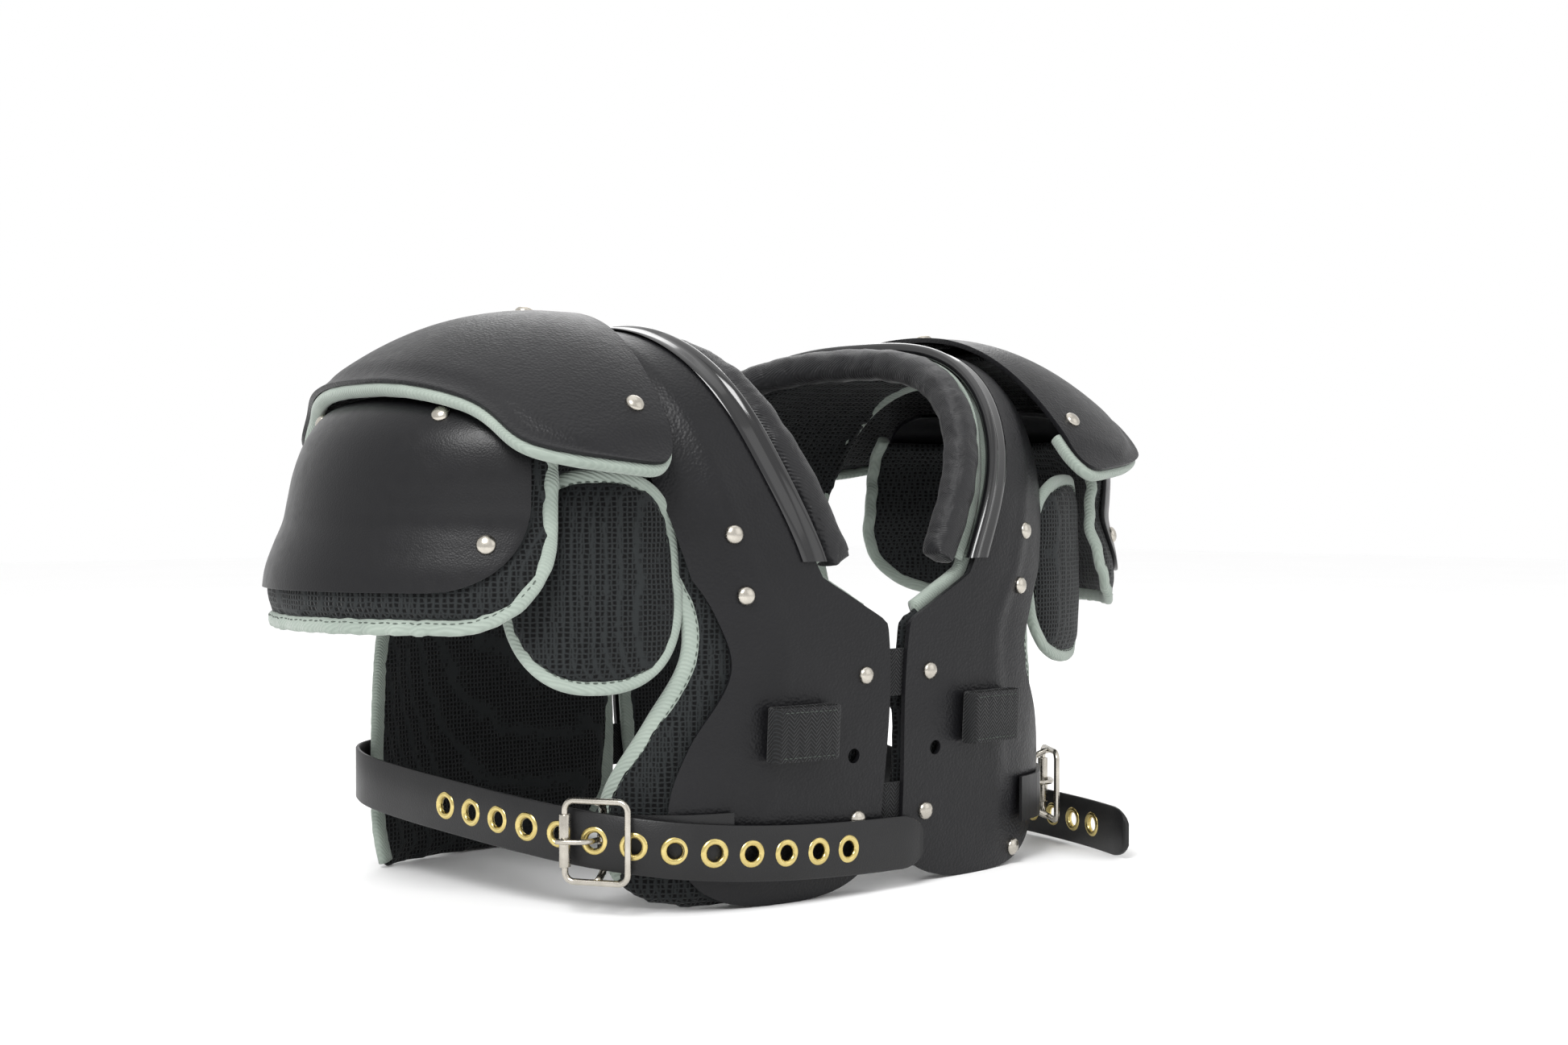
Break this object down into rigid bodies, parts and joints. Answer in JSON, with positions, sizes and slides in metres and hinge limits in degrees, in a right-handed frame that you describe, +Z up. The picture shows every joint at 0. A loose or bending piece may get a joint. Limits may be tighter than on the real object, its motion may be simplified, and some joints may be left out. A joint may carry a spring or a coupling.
{
  "type": "shoulder pads",
  "caption": "Contact-sport shoulder pads: two hard arches with padded liners, a neck roll, hinged epaulets, shoulder cups, wing pads and buckled side belts.",
  "frame": {"origin": "middle of the bounding box at the level of the hem, where the pads stand", "axes": "+Z up; the wearer faces -Y; the wearer's left is +X"},
  "size_m": [0.5728, 0.2964, 0.3141],
  "materials": {
    "grained_shell_plastic": "black, fine grain, satin",
    "cup_shell_plastic": "black, smooth satin",
    "gloss_neck_trim": "black, polished",
    "spacer_mesh_fabric": "black open knit over foam",
    "collar_satin_nylon": "black, satin weave",
    "bound_foam_fabric": "grey-green bound foam edge, black mesh faces",
    "black_webbing": "black herringbone weave",
    "coated_belt": "black, smooth coated belt",
    "nickel_plate": "nickel plated, polished"
  },
  "bodies": {
    "torso": {"arch_shell_left": "grained_shell_plastic", "arch_shell_right": "grained_shell_plastic", "arch_top_rivet_left": "nickel_plate", "arch_top_rivet_right": "nickel_plate", "back_body_pad_left": "spacer_mesh_fabric", "back_body_pad_right": "spacer_mesh_fabric", "back_link_lower": "black_webbing", "back_link_upper": "black_webbing", "belt_anchor_left": "coated_belt", "belt_right": "coated_belt", "buckle_frame_left": "nickel_plate", "buckle_frame_right": "nickel_plate", "buckle_strap_left": "coated_belt", "buckle_strap_right": "coated_belt", "chest_rivet_lower_left": "nickel_plate", "chest_rivet_lower_right": "nickel_plate", "chest_rivet_upper_left": "nickel_plate", "chest_rivet_upper_right": "nickel_plate", "collar_roll": "collar_satin_nylon", "cup_hinge_base_left": "black_webbing", "cup_hinge_base_right": "black_webbing", "epaulet_hinge_base_left": "black_webbing", "epaulet_hinge_base_right": "black_webbing", "front_body_pad_left": "spacer_mesh_fabric", "front_body_pad_right": "spacer_mesh_fabric", "front_link_lower": "black_webbing", "front_link_upper": "black_webbing", "link_rivet_left": "nickel_plate", "link_rivet_right": "nickel_plate", "neck_trim_left": "gloss_neck_trim", "neck_trim_right": "gloss_neck_trim", "web_loop_left": "black_webbing", "web_loop_right": "black_webbing", "wing_pad_left": "spacer_mesh_fabric", "wing_pad_right": "spacer_mesh_fabric"},
    "epaulet_right": {"epaulet_shell_right": "grained_shell_plastic", "epaulet_pad_right": "bound_foam_fabric", "epaulet_rivet_right": "nickel_plate", "epaulet_hinge_rivet_right": "nickel_plate", "epaulet_hinge_leaf_right": "black_webbing"},
    "cup_right": {"cup_shell_right": "cup_shell_plastic", "cup_pad_right": "bound_foam_fabric", "cup_rivet_right": "nickel_plate", "cup_hinge_leaf_right": "black_webbing"},
    "roller_right": {"buckle_roller_right": "nickel_plate"},
    "tongue_right": {"buckle_tongue_right": "nickel_plate"},
    "epaulet_left": {"epaulet_shell_left": "grained_shell_plastic", "epaulet_pad_left": "bound_foam_fabric", "epaulet_rivet_left": "nickel_plate", "epaulet_hinge_rivet_left": "nickel_plate", "epaulet_hinge_leaf_left": "black_webbing"},
    "cup_left": {"cup_shell_left": "cup_shell_plastic", "cup_pad_left": "bound_foam_fabric", "cup_rivet_left": "nickel_plate", "cup_hinge_leaf_left": "black_webbing"},
    "roller_left": {"buckle_roller_left": "nickel_plate"},
    "tongue_left": {"buckle_tongue_left": "nickel_plate"},
    "free_belt": {"belt_left": "coated_belt"}
  },
  "joints": [
    {"name": "cup_right_lift", "type": "hinge", "parent": "torso", "child": "cup_right", "pos_m": [-0.16, 0.0082, 0.297], "axis": [0, 1, 0], "range_deg": [0, 40]},
    {"name": "epaulet_right_lift", "type": "hinge", "parent": "torso", "child": "epaulet_right", "pos_m": [-0.132, 0.0082, 0.3037], "axis": [0, 1, 0], "range_deg": [0, 40]},
    {"name": "roller_right_spin", "type": "hinge", "parent": "torso", "child": "roller_right", "pos_m": [-0.17625, -0.06986, 0.0383], "axis": [0, 0, 1], "continuous": true},
    {"name": "tongue_right_swing", "type": "hinge", "parent": "torso", "child": "tongue_right", "pos_m": [-0.15867, -0.07869, 0.0383], "axis": [0, 0, 1], "range_deg": [0, 16]},
    {"name": "cup_left_lift", "type": "hinge", "parent": "torso", "child": "cup_left", "pos_m": [0.16, 0.0082, 0.297], "axis": [0, -1, 0], "range_deg": [0, 40]},
    {"name": "epaulet_left_lift", "type": "hinge", "parent": "torso", "child": "epaulet_left", "pos_m": [0.132, 0.0082, 0.3037], "axis": [0, -1, 0], "range_deg": [0, 40]},
    {"name": "roller_left_spin", "type": "hinge", "parent": "torso", "child": "roller_left", "pos_m": [0.17625, -0.06986, 0.0383], "axis": [0, 0, 1], "continuous": true},
    {"name": "tongue_left_swing", "type": "hinge", "parent": "torso", "child": "tongue_left", "pos_m": [0.15867, -0.07869, 0.0383], "axis": [0, 0, -1], "range_deg": [0, 85]},
    {"name": "free_belt_swing", "type": "hinge", "parent": "torso", "child": "free_belt", "pos_m": [0.1925, 0.1127, 0.0325], "axis": [0, 0, 1], "range_deg": [0, 20]}
  ],
  "couplings": [
    {"joint": "epaulet_right_lift", "follows": "cup_right_lift", "ratio": 1},
    {"joint": "epaulet_left_lift", "follows": "cup_left_lift", "ratio": 1}
  ]
}
